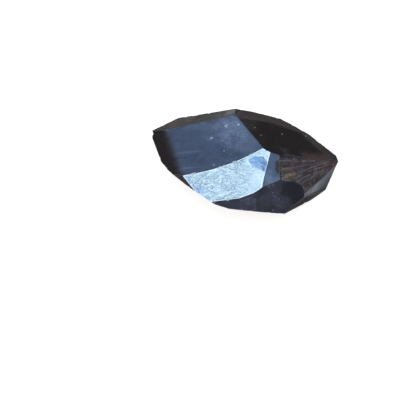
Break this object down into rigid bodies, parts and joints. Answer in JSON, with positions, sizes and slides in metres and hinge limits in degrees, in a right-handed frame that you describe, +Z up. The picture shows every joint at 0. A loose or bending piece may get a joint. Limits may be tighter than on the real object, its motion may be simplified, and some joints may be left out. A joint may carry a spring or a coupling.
{
  "type": "hematite crystal",
  "caption": "Faceted, pointed piece of shiny black hematite with a fibrous end, a hand specimen that rests on a flat underside.",
  "frame": {"origin": "on the resting plane, under the middle of the crystal's box", "axes": "+X along the crystal towards its point, +Z up, +Y away from the bright bowed face"},
  "size_m": [0.0454, 0.03, 0.0151],
  "materials": {
    "hematite": "natural metallic lustre, mirror-like on the cleaved faces and silky on the fibres"
  },
  "bodies": {
    "root": {"hematite_crystal": "hematite"}
  },
  "joints": []
}
